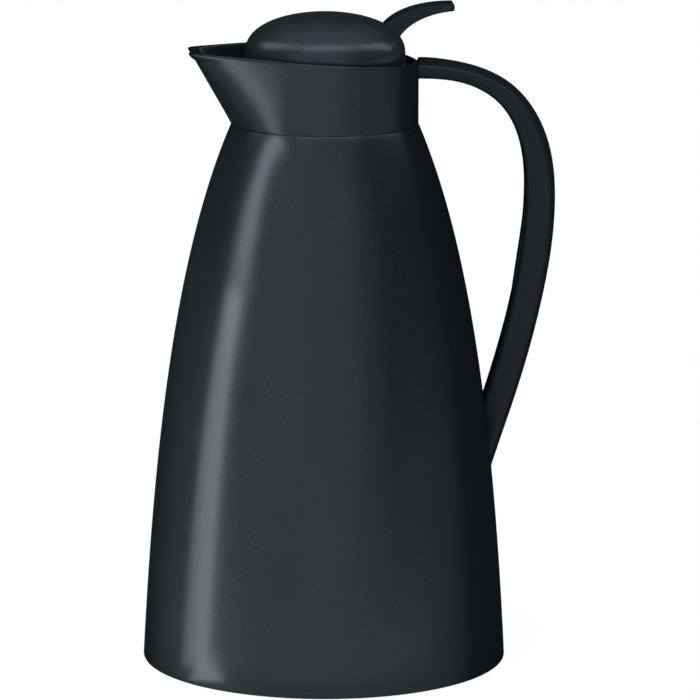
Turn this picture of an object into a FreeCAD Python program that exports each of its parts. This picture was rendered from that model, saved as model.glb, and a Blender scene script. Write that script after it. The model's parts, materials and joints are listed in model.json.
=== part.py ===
import FreeCAD, Part
import os
from math import atan2, cos, radians, sin, tan

# Thermal jug: a tapered casing with a glass vacuum liner, a spouted collar, a bowed handle and a
# hinged lid that a thumb lever tips open. Millimetres, +Z up, the spout towards -X, the handle
# towards +X, and the origin at the middle of the foot on the surface that the jug stands on.

V = FreeCAD.Vector
ORIGIN = V(0, 0, 0)
ALONG_X = V(1, 0, 0)
ALONG_Y = V(0, 1, 0)
UP = V(0, 0, 1)

# Clearances shared by mating pieces
seat_gap = 0.3          # soft rings and moving pieces against what they meet
slide_gap = 0.15        # pieces that slip into one another
bore_gap = 0.05         # screws and the pin in their holes
cut_margin = 1.0        # how far a cutting shape runs past the face it opens

# Casing: the wall leans in more and more from the foot to the neck
foot_radius = 72.9
neck_radius = 37.1
body_height = 216.4
foot_lean = 3.0         # degrees from upright
neck_lean = 23.3
foot_fullness = 101.0   # how far each end's lean is carried along the wall
neck_fullness = 50.0
shell_wall = 2.4
foot_round = 1.2
foot_land = 3.0         # width of the flat ring that stands on the table

# Bottom cover and its bayonet
ledge_height = 9.0      # underside of the ledge inside the foot
ledge_thickness = 2.4
ledge_width = 6.0
lug_count = 3
lug_reach = 3.2
lug_thickness = 2.4
lug_sweep = 24.0        # degrees
lug_turn = 40.0         # degrees from locked to free
lug_play = 4.0          # degrees by which a notch is wider than its lug
cap_thickness = 2.6
cap_seal_thickness = 1.2
cap_wall = 2.4
grip_bar_length = 84.0
grip_bar_width = 7.0
grip_bar_depth = 3.4
cushion_radius = 30.0
cushion_bore = 16.0
cushion_wall = 2.0      # height of the rim on the cover that holds the cushion
cushion_gap = 0.4       # between the cushion and the liner

# Glass vacuum liner
liner_gap = 7.4         # between the liner and the casing where the shoulder starts
shoulder_height = 100.0
glass = 1.5
vacuum_gap = 4.0
liner_bottom = 21.0
liner_barrel_start = 54.0
liner_neck_radius = 28.0
liner_neck_length = 16.0
lip_height = 3.0
tip_length = 5.0
tip_radius = 3.0
spacer_count = 3
spacer_radius = 4.0
spacer_height = 76.0
spacer_start = 60.0     # degrees from +X of the first pad
gasket_thickness = 2.2
mouth_step = 0.5        # funnel's mouth wider than the liner's
bowl_fullness = 0.62    # share of the bowl's size that its ends stay flat and upright
shoulder_fullness = 0.45

# Collar with the spout
collar_wall = 2.2
rim_front = 29.3        # rim heights above the seam with the casing
rim_middle = 28.5
rim_back = 24.6
rim_middle_x = -12.5
spout_top = 30.6        # height above the seam at which the spout's plan is drawn
spout_turn = 54.5       # degrees from -X where the plan leaves the circle
spout_run = 18.0
spout_reach = 53.1
spout_corner_reach = 54.0
spout_half_width = 10.5
spout_corner = 3.0
spout_foot_angle = 8.0  # degrees from -X of the front face where it starts at the seam
nose_share = 0.6        # how much of a change in reach the half width of the nose follows
lip_bead = 0.9          # how far the bead at the tip of the spout stands out
lip_bead_height = 1.7
lip_bead_run = 9.0      # how far back from the tip the bead starts
seat_land = 2.1
funnel_drop = 4.4       # mouth of the funnel below the seam
funnel_thickness = 1.6
skirt_wall = 2.2
skirt_gap = 0.3
skirt_length = 10.0
skirt_barb = 1.2
collar_seal_height = 3.4  # below the seam

# Hinge
pin_radius = 1.2
pin_inset = 2.3         # pin ahead of the lid's rear edge
pin_drop = 2.2          # pin below the rear of the rim
knuckle_radius = 2.4
knuckle_inner = 4.5
knuckle_outer = 9.9
ear_thickness = 3.4
rim_relief = 1.5

# Lid
lid_gap = 2.4           # between the lid and the inside of the collar
lid_wall = 2.2
lid_plate = 2.4
lid_spigot = 3.0
dome_height = 20.5
dome_crown = 7.5        # fullness of the dome at its top and at its shoulder
dome_shoulder = 18.6
dome_swell = 2.85
lid_screw_count = 3
lid_screw_clear = 0.85  # between the screws' heads and the snap ring of the stopper
lid_screw_length = 11.0
boss_radius = 3.4
screw_radius = 1.4
screw_head_radius = 2.7
screw_head_height = 2.0
foam_gap = 0.6
plug_top_radius = 27.0
plug_wall = 2.0
plug_end_gap = 2.2      # between the stopper's side and the funnel at its lower end
plug_snap = 1.9
seal_height = 3.4
seal_lift = 3.2         # lower edge of the stopper's ring above the mouth of the funnel
seal_side_gap = 0.45    # between the ring and the funnel, level with it

# Thumb lever: its upper and lower edges each run from the dome to the tip in one bow
lever_reach = 18.3      # past the lid's rear edge
lever_width = 14.0
lever_tip = 2.5         # thickness at the tip
lever_rise = 24.3       # top of the lever above the plate of the lid
lever_tip_round = 0.9
lever_brow_inset = 10.5  # start of the upper edge, from the lid's rear edge and the plate
lever_brow_height = 14.3
lever_brow_run = 5.0
lever_brow_rise = 6.4
lever_heel_inset = 4.0  # start of the lower edge
lever_heel_height = 10.1
lever_heel_run = 3.0
lever_heel_rise = 6.2
lever_tip_run = 14.5
lever_tip_run_low = 10.5
lever_tip_dip = 0.7

# Handle
handle_root_depth = 8.2
handle_grip_depth = 12.3
handle_root_width = 15.0
handle_grip_width = 18.0
handle_root_crown = 3.6
handle_grip_crown = 2.6
handle_taper = 2.6      # each side draws in by this much towards the inner face
handle_round = 2.2
handle_inner_round = 1.8
handle_wall = 2.6
handle_cover_thickness = 1.8
handle_ledge = 1.1
handle_screw_radius = 1.5
handle_screw_length = 12.0
handle_screw_head_radius = 2.8
handle_screw_head_height = 1.7
lower_screw_length = 8.0
lower_screw_drop = 116.4  # below the seam

# Line of the handle's outer edge from the collar to the casing: heights from the seam, and how far
# it stands off the wall there
handle_root_rise = 26.3
handle_root_sink = 3.0
handle_arm_rise = 25.9
handle_arm_reach = 9.0
handle_bow_rise = 22.7
handle_bow_reach = 23.7
handle_bend_rise = 15.3
handle_bend_reach = 37.5
handle_turn_drop = 2.6
handle_turn_reach = 49.1
handle_grip_drop = 31.9
handle_grip_reach = 43.6
handle_palm_drop = 72.3
handle_palm_reach = 29.1
handle_tail_drop = 104.9
handle_tail_reach = 15.4
handle_foot_drop = 137.6
handle_foot_reach = 0.9
handle_end_drop = 150.0
handle_end_sink = 4.6

# Sizes that follow from the ones above
ledge_top = ledge_height + ledge_thickness
cap_top = ledge_height - cap_seal_thickness - seat_gap
cap_bottom = cap_top - cap_thickness
foot_bore = foot_radius - foot_round - foot_land
throat_radius = foot_bore - ledge_width
lug_radius = throat_radius + lug_reach
collar_inside = neck_radius - collar_wall
funnel_mouth_height = body_height - funnel_drop
funnel_under = funnel_mouth_height - funnel_thickness
lip_top = funnel_under - gasket_thickness
lip_base = lip_top - lip_height
mouth_radius = liner_neck_radius - 2 * glass - vacuum_gap + mouth_step
skirt_radius = neck_radius - shell_wall - skirt_gap
rim_back_height = body_height + rim_back
lid_radius = collar_inside - lid_gap
pin_x = lid_radius - pin_inset
pin_z = rim_back_height - pin_drop
plate_low = pin_z - lid_plate / 2
plate_top = pin_z + lid_plate / 2
ear_inner = knuckle_outer + seat_gap
ear_outer = ear_inner + ear_thickness
hinge_clear = knuckle_radius + slide_gap + seat_gap
snap_radius = plug_top_radius - plug_wall - bore_gap
lid_screw_circle = snap_radius - plug_snap - screw_head_radius - lid_screw_clear
upper_screw_height = rim_back_height - handle_root_depth / 2
lower_screw_height = body_height - lower_screw_drop


# Small building blocks

def rz(radius, height):
    return V(radius, 0, height)


def line(a, b):
    return Part.LineSegment(a, b).toShape()


def arc(a, b, c):
    return Part.Arc(a, b, c).toShape()


def bezier(*poles):
    curve = Part.BezierCurve()
    curve.setPoles(list(poles))
    return curve.toShape()


def chain(points):
    return [line(a, b) for a, b in zip(points, points[1:])]


def spun(edges):
    return Part.Face(Part.Wire(edges)).revolve(ORIGIN, UP, 360)


def spun_polygon(points):
    corners = [rz(radius, height) for radius, height in points]
    return spun(chain(corners + corners[:1]))


def cylinder(radius, low, high, x=0, y=0):
    return Part.makeCylinder(radius, high - low, V(x, y, low))


def ring(inner, outer, low, high):
    return cylinder(outer, low, high).cut(cylinder(inner, low - cut_margin, high + cut_margin))


def sector(radius, low, high, middle, sweep):
    piece = Part.makeCylinder(radius, high - low, V(0, 0, low), UP, sweep)
    piece.rotate(ORIGIN, UP, middle - sweep / 2)
    return piece


def rod_y(radius, start, end, x, z):
    return Part.makeCylinder(radius, end - start, V(x, start, z), ALONG_Y)


def rod_x(radius, start, end, z):
    return Part.makeCylinder(radius, end - start, V(start, 0, z), ALONG_X)


def block(x0, x1, y0, y1, z0, z1):
    return Part.makeBox(x1 - x0, y1 - y0, z1 - z0, V(x0, y0, z0))


def side_slab(edges, half_width):
    face = Part.Face(Part.Wire(edges))
    face.translate(V(0, -half_width, 0))
    return face.extrude(V(0, 2 * half_width, 0))


def rounded_wire(corners, radii):
    arcs = []
    count = len(corners)
    for i, corner in enumerate(corners):
        back = (corners[i - 1] - corner).normalize()
        ahead = (corners[(i + 1) % count] - corner).normalize()
        half = back.getAngle(ahead) / 2
        reach = radii[i] / tan(half)
        middle = (back + ahead).normalize() * (radii[i] / sin(half) - radii[i])
        arcs.append((corner + back * reach, corner + middle, corner + ahead * reach))
    edges = []
    for i, (start, middle, end) in enumerate(arcs):
        edges.append(arc(start, middle, end))
        edges.append(line(end, arcs[(i + 1) % count][0]))
    return Part.Wire(edges)


# Casing

def body_curve(inset):
    foot = rz(foot_radius - inset, 0)
    neck = rz(neck_radius - inset, body_height)
    foot_lead = rz(-sin(radians(foot_lean)), cos(radians(foot_lean))) * foot_fullness
    neck_lead = rz(-sin(radians(neck_lean)), cos(radians(neck_lean))) * neck_fullness
    return bezier(foot, foot + foot_lead, neck - neck_lead, neck)


def body_radius(height):
    curve = body_curve(0).Curve
    low, high = 0.0, 1.0
    for _ in range(40):
        middle = (low + high) / 2
        if curve.value(middle).z < height:
            low = middle
        else:
            high = middle
    return curve.value(low).x


def body_solid(inset):
    foot = rz(foot_radius - inset, 0)
    neck = rz(neck_radius - inset, body_height)
    top = rz(0, body_height)
    return spun([line(ORIGIN, foot), body_curve(inset), line(neck, top), line(top, ORIGIN)])


def lug_angles():
    return [i * 360 / lug_count for i in range(lug_count)]


def body_shell():
    shell = body_solid(0)
    foot_edge = [e for e in shell.Edges if e.BoundBox.ZMax < foot_round / 2 and len(e.Vertexes) == 1]
    shell = shell.makeFillet(foot_round, foot_edge)
    hollow = body_solid(shell_wall).cut(cylinder(foot_radius, -cut_margin, ledge_top))
    bore = cylinder(foot_bore, -cut_margin, ledge_height)
    throat = cylinder(throat_radius, -cut_margin, ledge_top + cut_margin)
    tools = [hollow, bore, throat]
    for angle in lug_angles():
        tools.append(sector(lug_radius + seat_gap, ledge_height - cut_margin, ledge_top + cut_margin,
                            angle - lug_turn, lug_sweep + lug_play))
    reach = body_radius(lower_screw_height)
    tools.append(rod_x(handle_screw_radius + bore_gap, reach - 2 * shell_wall, reach + cut_margin,
                       lower_screw_height))
    return shell.cut(tools)


def base_cap():
    neck_outer = throat_radius - seat_gap
    lug_low = ledge_top + seat_gap
    lug_top = lug_low + lug_thickness
    cap = cylinder(foot_bore - seat_gap, cap_bottom, cap_top)
    cap = cap.fuse(ring(neck_outer - cap_wall, neck_outer, cap_bottom, lug_top))
    for angle in lug_angles():
        lug = sector(lug_radius, lug_low, lug_top, angle, lug_sweep)
        cap = cap.fuse(lug.cut(cylinder(neck_outer - cap_wall, lug_low - cut_margin, lug_top + cut_margin)))
    cup = ring(cushion_radius + slide_gap, cushion_radius + slide_gap + cap_wall,
               cap_bottom, cap_top + cushion_wall)
    bar = block(-grip_bar_length / 2, grip_bar_length / 2, -grip_bar_width / 2, grip_bar_width / 2,
                cap_bottom - grip_bar_depth, cap_top)
    return cap.fuse([cup, bar]).removeSplitter()


def base_seal():
    return ring(throat_radius + slide_gap, foot_bore - seat_gap, cap_top, cap_top + cap_seal_thickness)


# Glass liner

liner_radius = body_radius(shoulder_height) - shell_wall - liner_gap


def flask_solid(inset, top):
    radius = liner_radius - inset
    neck = liner_neck_radius - inset
    neck_start = lip_base - liner_neck_length
    bottom = rz(0, liner_bottom + inset)
    barrel_low = rz(radius, liner_barrel_start)
    barrel_high = rz(radius, shoulder_height)
    neck_low = rz(neck, neck_start)
    neck_high = rz(neck, top)
    axis_top = rz(0, top)
    bowl_reach = bowl_fullness * radius
    bowl_rise = bowl_fullness * (liner_barrel_start - liner_bottom)
    shoulder_reach = shoulder_fullness * (neck_start - shoulder_height)
    bowl = bezier(bottom, bottom + rz(bowl_reach, 0), barrel_low - rz(0, bowl_rise), barrel_low)
    shoulder = bezier(barrel_high, barrel_high + rz(0, shoulder_reach),
                      neck_low - rz(0, shoulder_reach / 2), neck_low)
    return spun([bowl, line(barrel_low, barrel_high), shoulder, line(neck_low, neck_high),
                 line(neck_high, axis_top), line(axis_top, bottom)])


def liner_outer_flask():
    flask = flask_solid(0, lip_base)
    tip = Part.makeCone(tip_radius / 2, tip_radius, tip_length + glass, rz(0, liner_bottom - tip_length))
    return flask.fuse(tip).cut(flask_solid(glass, lip_base + cut_margin))


def liner_inner_flask():
    inset = glass + vacuum_gap
    flask = flask_solid(inset, lip_top)
    mouth = liner_neck_radius - inset - glass
    lip = ring(mouth, liner_neck_radius, lip_base, lip_top)
    top_edges = [e for e in lip.Edges if e.BoundBox.ZMin > lip_top - glass / 2 and len(e.Vertexes) == 1]
    lip = lip.makeFillet(glass, top_edges)
    return flask.fuse(lip).cut(flask_solid(inset + glass, lip_top + cut_margin)).removeSplitter()


def liner_spacers():
    outer = liner_radius - glass - bore_gap
    inner = liner_radius - glass - vacuum_gap + bore_gap
    low = spacer_height - 2 * spacer_radius
    high = spacer_height + 2 * spacer_radius
    gap = ring(inner, outer, low, high)
    pads = []
    for i in range(spacer_count):
        pad = rod_x(spacer_radius, inner - 2 * spacer_radius, outer + cut_margin, spacer_height)
        pad.rotate(ORIGIN, UP, spacer_start + i * 360 / spacer_count)
        pads.append(pad.common(gap))
    return Part.makeCompound(pads)


def mouth_gasket():
    return ring(mouth_radius, liner_neck_radius - glass / 2, lip_top, funnel_under)


def liner_cushion():
    high = liner_barrel_start - glass
    cushion = ring(cushion_bore, cushion_radius, cap_top, high)
    return cushion.cut(flask_solid(-cushion_gap, lip_base))


# Collar with the spout

def collar_wire(height, radius, reach, corner_reach, half_width, corner):
    turn = radians(spout_turn)
    leave = V(-radius * cos(turn), radius * sin(turn), height)
    lead = leave + V(-sin(turn), -cos(turn), 0) * spout_run
    tip = V(-corner_reach, half_width, height)
    side_end = tip + (lead - tip).normalize() * corner
    nose_start = V(-corner_reach, half_width - corner, height)
    nose_middle = V(-reach, 0, height)
    back = V(radius, 0, height)

    def mirrored(point):
        return V(point.x, -point.y, point.z)

    return Part.Wire([
        arc(mirrored(leave), back, leave),
        bezier(leave, lead, side_end),
        bezier(side_end, tip, nose_start),
        arc(nose_start, nose_middle, mirrored(nose_start)),
        bezier(mirrored(nose_start), mirrored(tip), mirrored(side_end)),
        bezier(mirrored(side_end), mirrored(lead), mirrored(leave)),
    ])


def collar_seam_wire(height, radius):
    angles = [spout_turn, 2 * spout_foot_angle, spout_foot_angle]
    stops = [-a for a in angles] + angles[::-1]

    def at(angle):
        return V(-radius * cos(radians(angle)), radius * sin(radians(angle)), height)

    edges = [arc(at(-spout_turn), V(radius, 0, height), at(spout_turn))]
    walk = stops[::-1]
    for start, end in zip(walk, walk[1:]):
        edges.append(arc(at(start), at((start + end) / 2), at(end)))
    return Part.Wire(edges)


def collar_loft(inset, bead=0.0):
    top = body_height + spout_top
    radius = neck_radius - inset
    drawn = inset - bead
    half_width = spout_half_width - nose_share * drawn
    seam = collar_seam_wire(body_height, radius)
    plan = collar_wire(top, radius, spout_reach - drawn, spout_corner_reach - drawn, half_width,
                       spout_corner - (1 - nose_share) * drawn)
    return Part.makeLoft([seam, plan], True, True)


def above_rim(drop):
    far = spout_reach + neck_radius
    ceiling = body_height + 3 * spout_top
    front = rz(-spout_reach, body_height + rim_front - drop)
    middle = rz(rim_middle_x, body_height + rim_middle - drop)
    back = rz(neck_radius, rim_back_height - drop)
    rim = Part.Arc(front, middle, back)
    fall = rim.tangent(rim.FirstParameter)[0] * spout_reach
    drop_back = rim.tangent(rim.LastParameter)[0] * neck_radius
    start = front - fall
    end = back + drop_back
    edges = [line(start, front), rim.toShape(), line(back, end)]
    edges += chain([end, rz(end.x, ceiling), rz(start.x, ceiling), start])
    return side_slab(edges, far)


def hinge_ear(side):
    start = min(side * ear_inner, side * ear_outer)
    end = max(side * ear_inner, side * ear_outer)
    barrel = rod_y(knuckle_radius, start, end, pin_x, pin_z)
    arm = block(pin_x, neck_radius, start, end, pin_z - knuckle_radius, pin_z + knuckle_radius)
    keep = cylinder(neck_radius - collar_wall / 2, body_height, rim_back_height + cut_margin)
    return barrel.fuse(arm).common(keep)


def spout_collar():
    inside = collar_loft(collar_wall)
    far = 2 * neck_radius
    tip = block(-far, lip_bead_run - spout_reach, -far, far, body_height, body_height + spout_top)
    bead = collar_loft(0, lip_bead).common(above_rim(lip_bead_height)).common(tip)
    wall = collar_loft(0).fuse(bead).cut(above_rim(0)).cut(inside)

    funnel = spun_polygon([
        (mouth_radius, funnel_under),
        (mouth_radius + seat_land, funnel_under),
        (far, funnel_under + far - mouth_radius - seat_land),
        (far, funnel_mouth_height + far - mouth_radius),
        (mouth_radius, funnel_mouth_height),
    ])
    room = collar_loft(collar_wall / 2).fuse(
        cylinder(neck_radius - collar_wall / 2, funnel_under - cut_margin, body_height))
    funnel = funnel.common(room)

    skirt_inside = skirt_radius - skirt_wall
    skirt_bottom = body_height - skirt_length
    shoulder = neck_radius - collar_wall / 2
    skirt = spun_polygon([
        (skirt_inside, skirt_bottom),
        (skirt_radius, skirt_bottom),
        (skirt_radius + skirt_barb, skirt_bottom + skirt_barb),
        (skirt_radius, skirt_bottom + 2 * skirt_barb),
        (skirt_radius, body_height),
        (shoulder, body_height),
        (shoulder, body_height + skirt_wall),
        (skirt_inside, body_height + skirt_wall),
    ])
    collar = wall.fuse([funnel, skirt, hinge_ear(-1), hinge_ear(1)])

    relief_low = rim_back_height - rim_relief
    relief = Part.makeCone(collar_inside, collar_inside + 2 * rim_relief, 2 * rim_relief, rz(0, relief_low))
    relief_half = ear_outer + ear_thickness
    relief = relief.common(block(0, far, -relief_half, relief_half, relief_low, relief_low + 2 * rim_relief))
    pin_hole = rod_y(pin_radius, -ear_outer - cut_margin, ear_outer + cut_margin, pin_x, pin_z)
    return collar.cut([relief, pin_hole, upper_screw_hole()]).removeSplitter()


def upper_screw_hole():
    sink = Part.makeCone(handle_screw_head_radius + bore_gap, handle_screw_radius + bore_gap,
                         handle_screw_head_height, V(collar_inside, 0, upper_screw_height), ALONG_X)
    hole = rod_x(handle_screw_radius + bore_gap, collar_inside - cut_margin, neck_radius + cut_margin,
                 upper_screw_height)
    mouth = rod_x(handle_screw_head_radius + bore_gap, pin_x, collar_inside, upper_screw_height)
    return hole.fuse([sink, mouth])


def collar_seal():
    height = body_height - collar_seal_height
    outer = body_radius(height) - shell_wall
    half = (outer - skirt_radius) / 2
    section = half * cos(radians(neck_lean)) - bore_gap
    return Part.makeTorus(skirt_radius + half, section, rz(0, height))


def hinge_pin():
    return rod_y(pin_radius, -ear_outer, ear_outer, pin_x, pin_z)


# Handle: stations from the collar to the casing, each with its height above the seam, how far its
# outer edge stands off the wall at that height, the slope of its section and how far the section
# has grown from the root to the grip

handle_stations = [
    (handle_root_rise, -handle_root_sink, -90.0, 0.0),
    (handle_arm_rise, handle_arm_reach, -88.0, 0.0),
    (handle_bow_rise, handle_bow_reach, -70.0, 0.0),
    (handle_bend_rise, handle_bend_reach, -50.0, 0.25),
    (-handle_turn_drop, handle_turn_reach, -23.0, 0.65),
    (-handle_grip_drop, handle_grip_reach, 0.0, 1.0),
    (-handle_palm_drop, handle_palm_reach, 10.5, 1.0),
    (-handle_tail_drop, handle_tail_reach, 15.5, 1.0),
    (-handle_foot_drop, handle_foot_reach, 18.0, 1.0),
    (-handle_end_drop, -handle_end_sink, 18.0, 1.0),
]
cover_stations = handle_stations[2:8]


def blend(root, grip, share):
    return root + (grip - root) * share


def handle_frame(station):
    rise, stand_off, slope, share = station
    height = body_height + rise
    wall = body_radius(min(height, body_height))
    outer = rz(wall + stand_off, height)
    inward = rz(-cos(radians(slope)), sin(radians(slope)))
    depth = blend(handle_root_depth, handle_grip_depth, share)
    half_width = blend(handle_root_width, handle_grip_width, share) / 2
    crown = blend(handle_root_crown, handle_grip_crown, share)
    return outer, inward, depth, half_width, crown


def handle_section(station):
    outer, inward, depth, half_width, crown = handle_frame(station)
    inner_half = half_width - handle_taper
    across = ALONG_Y
    ridge = atan2(half_width, crown)
    crest = half_width / sin(ridge) - half_width
    corners = [
        outer - inward * crest,
        outer + across * half_width + inward * crown,
        outer + across * inner_half + inward * depth,
        outer - across * inner_half + inward * depth,
        outer - across * half_width + inward * crown,
    ]
    radii = [half_width, handle_round, handle_inner_round, handle_inner_round, handle_round]
    return rounded_wire(corners, radii)


def channel_section(station, inset, shallow, deep):
    outer, inward, depth, half_width, _ = handle_frame(station)
    half = half_width - handle_taper - inset
    low = outer + inward * (depth - shallow)
    high = outer + inward * (depth - deep)
    across = ALONG_Y * half
    corners = [low + across, high + across, high - across, low - across]
    return Part.Wire(chain(corners + corners[:1]))


def channel(inset, shallow, deep):
    return Part.makeLoft([channel_section(s, inset, shallow, deep) for s in cover_stations], True)


def handle():
    grip = Part.makeLoft([handle_section(s) for s in handle_stations], True)
    collar = cylinder(neck_radius + bore_gap, body_height - cut_margin, rim_back_height + 2 * rim_front)
    top = cylinder(2 * foot_radius, rim_back_height, rim_back_height + 2 * rim_front)
    hollow_depth = handle_root_depth - handle_root_crown
    hollow = channel(handle_wall + handle_ledge, handle_cover_thickness - bore_gap,
                     handle_cover_thickness + hollow_depth)
    recess = channel(handle_wall, -cut_margin, handle_cover_thickness)
    upper_pilot = rod_x(handle_screw_radius + bore_gap, neck_radius,
                        collar_inside + handle_screw_length + cut_margin, upper_screw_height)
    wall = body_radius(lower_screw_height)
    lower_pilot = rod_x(handle_screw_radius + bore_gap, wall - cut_margin,
                        wall - shell_wall + lower_screw_length + cut_margin, lower_screw_height)
    return grip.cut([collar, body_solid(-bore_gap), hollow, recess, upper_pilot, lower_pilot])


def handle_cover():
    return channel(handle_wall + slide_gap, 0, handle_cover_thickness - bore_gap)


def handle_screws():
    upper_end = collar_inside + handle_screw_length
    upper = rod_x(handle_screw_radius, collar_inside, upper_end, upper_screw_height)
    upper = upper.fuse(Part.makeCone(handle_screw_head_radius, handle_screw_radius, handle_screw_head_height,
                                     V(collar_inside, 0, upper_screw_height), ALONG_X))
    seat = body_radius(lower_screw_height + handle_screw_head_radius) - shell_wall - seat_gap
    lower = rod_x(handle_screw_radius, seat, seat + lower_screw_length, lower_screw_height)
    lower = lower.fuse(rod_x(handle_screw_head_radius, seat - handle_screw_head_height, seat,
                             lower_screw_height))
    return Part.makeCompound([upper, lower])


# Lid

def dome_solid(inset):
    radius = lid_radius - inset
    top = rz(0, plate_top + dome_height - inset)
    edge = rz(radius, plate_top)
    crown = top + rz(dome_crown, 0)
    shoulder = edge + rz(dome_swell, dome_shoulder)
    foot = rz(0, plate_top)
    return spun([line(foot, edge), bezier(edge, shoulder, crown, top), line(top, foot)])


def hinge_clearance():
    return rod_y(hinge_clear, -ear_outer - seat_gap, ear_outer + seat_gap, pin_x, pin_z)


def lid_screw_places():
    steps = [180 + i * 360 / lid_screw_count for i in range(lid_screw_count)]
    return [V(lid_screw_circle * cos(radians(a)), lid_screw_circle * sin(radians(a)), 0) for a in steps]


def lid_dome():
    dome = dome_solid(0).cut(dome_solid(lid_wall))
    core = dome_solid(lid_wall / 2)
    for place in lid_screw_places():
        boss = cylinder(boss_radius, plate_top, plate_top + dome_height, place.x, place.y)
        dome = dome.fuse(boss.common(core))
    pilots = [cylinder(screw_radius + bore_gap, plate_top - cut_margin,
                       plate_low + lid_screw_length + cut_margin, p.x, p.y) for p in lid_screw_places()]
    return dome.cut(pilots + [hinge_clearance(), lever_slab(slide_gap)]).removeSplitter()


def lever_slab(grow):
    tip_x = lid_radius + lever_reach
    top_z = plate_top + lever_rise
    tip_top = rz(tip_x, top_z + grow)
    tip_low = rz(tip_x, top_z - lever_tip - grow)
    brow = rz(lid_radius - lever_brow_inset - grow, plate_top + lever_brow_height)
    heel = rz(lid_radius - lever_heel_inset + grow, plate_top + lever_heel_height - grow)
    root_front = rz(brow.x, plate_top)
    root_back = rz(heel.x, plate_top)
    upper = bezier(brow, brow + rz(lever_brow_run, lever_brow_rise), tip_top - rz(lever_tip_run, 0), tip_top)
    lower = bezier(tip_low, tip_low - rz(lever_tip_run_low, lever_tip_dip),
                   heel + rz(lever_heel_run, lever_heel_rise), heel)
    edges = [upper, line(tip_top, tip_low), lower]
    edges += chain([heel, root_back, root_front, brow])
    return side_slab(edges, lever_width / 2 + grow)


def thumb_lever():
    lever = lever_slab(0)
    tip_x = lid_radius + lever_reach
    tip_edges = [e for e in lever.Edges if e.BoundBox.XMin > tip_x - lever_tip / 4]
    lever = lever.makeFillet(lever_tip_round, tip_edges)
    outside = block(lid_radius - lever_heel_inset, tip_x + cut_margin, -lever_width, lever_width,
                    plate_top + lever_heel_height - lid_wall, plate_top + lever_rise + cut_margin)
    above = block(lid_radius - lever_brow_inset, tip_x + cut_margin, -lever_width, lever_width,
                  plate_top + lever_brow_height - lid_wall, plate_top + lever_rise + cut_margin)
    return lever.common(dome_solid(lid_wall).fuse([outside, above])).cut(hinge_clearance())


def lid_base():
    plate = cylinder(lid_radius, plate_low, plate_top)
    spigot_inside = lid_radius - 2 * lid_wall - slide_gap
    spigot = ring(spigot_inside, lid_radius, plate_top, plate_top + lid_spigot)
    spigot = spigot.common(dome_solid(lid_wall + slide_gap)).cut(lever_slab(slide_gap))
    snap = ring(snap_radius - plug_snap, snap_radius, plate_low - plug_snap, plate_top)
    hinge_front = pin_x - hinge_clear
    hinge_room = block(hinge_front, lid_radius + cut_margin, -ear_outer - seat_gap, ear_outer + seat_gap,
                       plate_low - cut_margin, plate_top + lid_spigot + cut_margin)
    base = plate.fuse([spigot, snap]).cut(hinge_room)
    for side in (-1, 1):
        start = min(side * knuckle_inner, side * knuckle_outer)
        end = max(side * knuckle_inner, side * knuckle_outer)
        knuckle = rod_y(knuckle_radius, start, end, pin_x, pin_z)
        web = block(hinge_front - lid_plate, pin_x, start, end, plate_low, plate_top)
        base = base.fuse([knuckle, web])
    holes = [cylinder(screw_radius + bore_gap, plate_low - cut_margin, plate_top + cut_margin, p.x, p.y)
             for p in lid_screw_places()]
    pin_hole = rod_y(pin_radius + bore_gap, -ear_outer, ear_outer, pin_x, pin_z)
    return base.cut(holes + [pin_hole]).removeSplitter()


def lid_screws():
    screws = []
    for place in lid_screw_places():
        shank = cylinder(screw_radius, plate_low, plate_low + lid_screw_length, place.x, place.y)
        head = cylinder(screw_head_radius, plate_low - screw_head_height, plate_low, place.x, place.y)
        screws.append(shank.fuse(head))
    return Part.makeCompound(screws)


def lid_insulation():
    foam = dome_solid(lid_wall + foam_gap)
    spigot_inside = lid_radius - 2 * lid_wall - slide_gap - foam_gap
    narrow = cylinder(spigot_inside, plate_top, plate_top + dome_height)
    holes = [cylinder(boss_radius + foam_gap, plate_top - cut_margin, plate_top + dome_height, p.x, p.y)
             for p in lid_screw_places()]
    return foam.common(narrow).cut(holes + [lever_slab(foam_gap), hinge_clearance()])


def funnel_radius(height):
    return mouth_radius + height - funnel_mouth_height


def plug_sizes():
    seal_low = funnel_mouth_height + seal_lift
    seal_top = seal_low + seal_height
    side = funnel_radius(seal_low) - plug_end_gap
    return seal_low, seal_top, side


def lid_plug():
    seal_low, seal_top, side = plug_sizes()
    bottom = seal_low - plug_wall
    inner_top = plug_top_radius - plug_wall
    return spun_polygon([
        (0, bottom),
        (side - plug_wall, bottom),
        (side, seal_low),
        (side, seal_top),
        (plug_top_radius, plate_low - plug_snap),
        (plug_top_radius, plate_low),
        (inner_top, plate_low),
        (inner_top, plate_low - plug_snap),
        (side - plug_wall, seal_top),
        (side - plug_wall, bottom + plug_wall),
        (0, bottom + plug_wall),
    ])


def plug_seal():
    seal_low, seal_top, side = plug_sizes()
    low_edge = funnel_radius(seal_low) - seal_side_gap
    top_edge = funnel_radius(seal_top) - seal_side_gap
    return spun_polygon([
        (side, seal_low),
        (low_edge, seal_low),
        (top_edge, seal_top),
        (side, seal_top),
    ]).cut(plug_flare())


def plug_flare():
    seal_low, seal_top, side = plug_sizes()
    height = plate_low - plug_snap - seal_top
    return Part.makeCone(side, plug_top_radius, height, rz(0, seal_top))


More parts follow.
